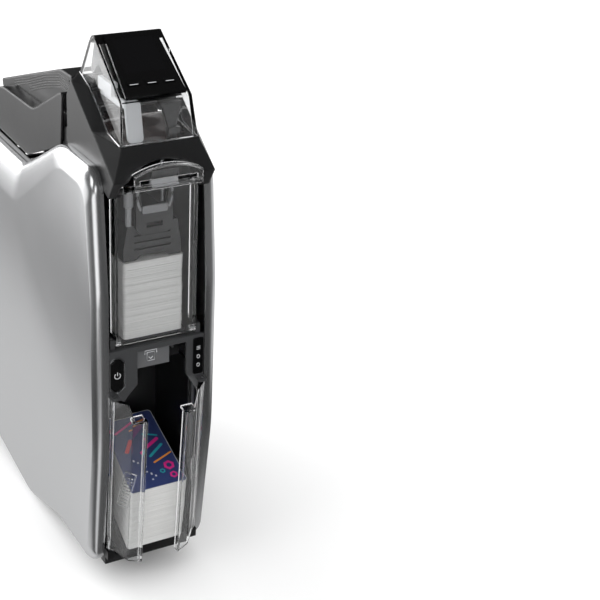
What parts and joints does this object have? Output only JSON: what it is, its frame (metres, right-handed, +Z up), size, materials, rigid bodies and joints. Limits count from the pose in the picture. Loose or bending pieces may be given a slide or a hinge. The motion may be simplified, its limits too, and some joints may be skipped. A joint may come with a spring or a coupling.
{
  "type": "id card printer",
  "caption": "Upright desktop ID card printer with loaded card hopper, clear doors, two-leaf output bay, hinged lid, ribbon and display housing and a full card path inside",
  "frame": {"origin": "centre of the printer's box on the table, between the four rubber feet", "axes": "+Z up; the front with its hoppers faces -Y; +X to the right as seen from the front"},
  "size_m": [0.112, 0.3557, 0.4895],
  "materials": {
    "silver_panel": "satin",
    "grey_plastic": "satin",
    "dark_shell": "matte",
    "black_plastic": "satin",
    "gloss_black": "gloss",
    "clear_plastic": "gloss",
    "pale_plastic": "satin",
    "white_card": "satin",
    "steel": "satin",
    "chrome_trim": "gloss",
    "rubber": "matte",
    "circuit_board": "satin",
    "ribbon_film": "gloss"
  },
  "bodies": {
    "root": {"base_pan": "dark_shell", "rubber_feet": "rubber", "left_frame_plate": "steel", "right_frame_plate": "steel", "left_side_panel": "silver_panel", "right_side_panel": "silver_panel", "rear_cover": "dark_shell", "cover_screws": "steel", "input_hopper": "black_plastic", "input_card_stack": "white_card", "weight_guide_rods": "steel", "output_hopper": "black_plastic", "output_card_stack": "white_card", "front_bezel": "grey_plastic", "status_lens": "gloss_black", "button_ring": "chrome_trim", "hood": "grey_plastic", "hood_window": "clear_plastic", "window_strap": "pale_plastic", "sensor_bracket": "grey_plastic", "display_panel": "gloss_black", "display_screen": "gloss_black", "display_board": "circuit_board", "ribbon_cassette": "grey_plastic", "printhead": "grey_plastic", "printhead_bracket": "steel", "print_guide": "black_plastic", "card_rails": "black_plastic", "exit_chute": "black_plastic", "drive_motor": "steel", "drive_belt": "rubber", "main_board": "circuit_board", "power_supply": "steel", "power_inlet": "black_plastic", "data_ports": "steel", "fan_housing": "black_plastic", "door_pins": "steel", "lid_hinge_rod": "steel"},
    "lid": {"top_lid": "grey_plastic", "lid_cap": "grey_plastic"},
    "hopper_door": {"input_door": "clear_plastic"},
    "weight": {"card_weight": "black_plastic"},
    "left_leaf": {"left_output_door": "clear_plastic"},
    "right_leaf": {"right_output_door": "clear_plastic"},
    "flap": {"exit_flap": "grey_plastic"},
    "power_key": {"power_button": "gloss_black"},
    "key_left": {"left_key": "gloss_black"},
    "key_middle": {"middle_key": "gloss_black"},
    "key_right": {"right_key": "gloss_black"},
    "motor": {"motor_pulley": "steel"},
    "feed": {"feed_roller": "rubber"},
    "entry": {"entry_roller": "rubber"},
    "cleaning": {"cleaning_roller": "rubber"},
    "platen": {"platen_roller": "rubber"},
    "exit_roll": {"exit_roller": "rubber"},
    "supply": {"supply_spool": "ribbon_film"},
    "takeup": {"takeup_spool": "ribbon_film"},
    "flipper": {"card_flipper": "grey_plastic"},
    "fan": {"fan_rotor": "black_plastic"},
    "rocker": {"power_switch": "black_plastic"}
  },
  "joints": [
    {"name": "lid_hinge", "type": "hinge", "parent": "root", "child": "lid", "pos_m": [0, 0.166, 0.346], "axis": [-1, 0, 0], "range_deg": [0, 65]},
    {"name": "hopper_door_hinge", "type": "hinge", "parent": "root", "child": "hopper_door", "pos_m": [0, -0.1515, 0.247], "axis": [1, 0, 0], "range_deg": [0, 38]},
    {"name": "weight_slide", "type": "slide", "parent": "root", "child": "weight", "axis": [0, 0, 1], "range_m": [0, 0.025]},
    {"name": "left_leaf_hinge", "type": "hinge", "parent": "root", "child": "left_leaf", "pos_m": [-0.0404, -0.146, 0.034], "axis": [0, 0.0872, -0.9962], "range_deg": [0, 70]},
    {"name": "right_leaf_hinge", "type": "hinge", "parent": "root", "child": "right_leaf", "pos_m": [0.0404, -0.146, 0.034], "axis": [0, -0.0872, 0.9962], "range_deg": [0, 70]},
    {"name": "flap_hinge", "type": "hinge", "parent": "root", "child": "flap", "pos_m": [-0.0015, -0.1505, 0.2362], "axis": [-1, 0, 0], "range_deg": [0, 50]},
    {"name": "power_press", "type": "slide", "parent": "root", "child": "power_key", "axis": [0, 1, 0], "range_m": [0, 0.001], "stiffness_N_per_m": 500},
    {"name": "key_left_press", "type": "slide", "parent": "root", "child": "key_left", "axis": [0, 0.5621, -0.8271], "range_m": [0, 0.0006], "stiffness_N_per_m": 400},
    {"name": "key_middle_press", "type": "slide", "parent": "root", "child": "key_middle", "axis": [0, 0.5621, -0.8271], "range_m": [0, 0.0006], "stiffness_N_per_m": 400},
    {"name": "key_right_press", "type": "slide", "parent": "root", "child": "key_right", "axis": [0, 0.5621, -0.8271], "range_m": [0, 0.0006], "stiffness_N_per_m": 400},
    {"name": "motor_turn", "type": "hinge", "parent": "root", "child": "motor", "pos_m": [0, -0.02, 0.195], "axis": [1, 0, 0], "continuous": true},
    {"name": "feed_turn", "type": "hinge", "parent": "root", "child": "feed", "pos_m": [0, -0.1, 0.2382], "axis": [1, 0, 0], "continuous": true},
    {"name": "entry_turn", "type": "hinge", "parent": "root", "child": "entry", "pos_m": [0, -0.045, 0.2519], "axis": [1, 0, 0], "continuous": true},
    {"name": "cleaning_turn", "type": "hinge", "parent": "root", "child": "cleaning", "pos_m": [0, -0.02, 0.25344], "axis": [1, 0, 0], "continuous": true},
    {"name": "platen_turn", "type": "hinge", "parent": "root", "child": "platen", "pos_m": [0, 0.00645, 0.31914], "axis": [1, 0, 0], "continuous": true},
    {"name": "exit_turn", "type": "hinge", "parent": "root", "child": "exit_roll", "pos_m": [0, -0.13, 0.21817], "axis": [1, 0, 0], "continuous": true},
    {"name": "supply_turn", "type": "hinge", "parent": "root", "child": "supply", "pos_m": [0, -0.118, 0.412], "axis": [1, 0, 0], "continuous": true},
    {"name": "takeup_turn", "type": "hinge", "parent": "root", "child": "takeup", "pos_m": [0, -0.046, 0.394], "axis": [1, 0, 0], "continuous": true},
    {"name": "flipper_turn", "type": "hinge", "parent": "root", "child": "flipper", "pos_m": [0, 0.12, 0.2553], "axis": [1, 0, 0], "continuous": true},
    {"name": "fan_turn", "type": "hinge", "parent": "root", "child": "fan", "pos_m": [0, 0.165, 0.13], "axis": [0, 1, 0], "continuous": true},
    {"name": "rocker_tilt", "type": "hinge", "parent": "root", "child": "rocker", "pos_m": [0.006, 0.1712, 0.048], "axis": [1, 0, 0], "range_deg": [-5, 5]}
  ],
  "couplings": [
    {"joint": "feed_turn", "follows": "motor_turn", "ratio": 1},
    {"joint": "platen_turn", "follows": "motor_turn", "ratio": 0.8},
    {"joint": "supply_turn", "follows": "takeup_turn", "ratio": 0.78571}
  ]
}
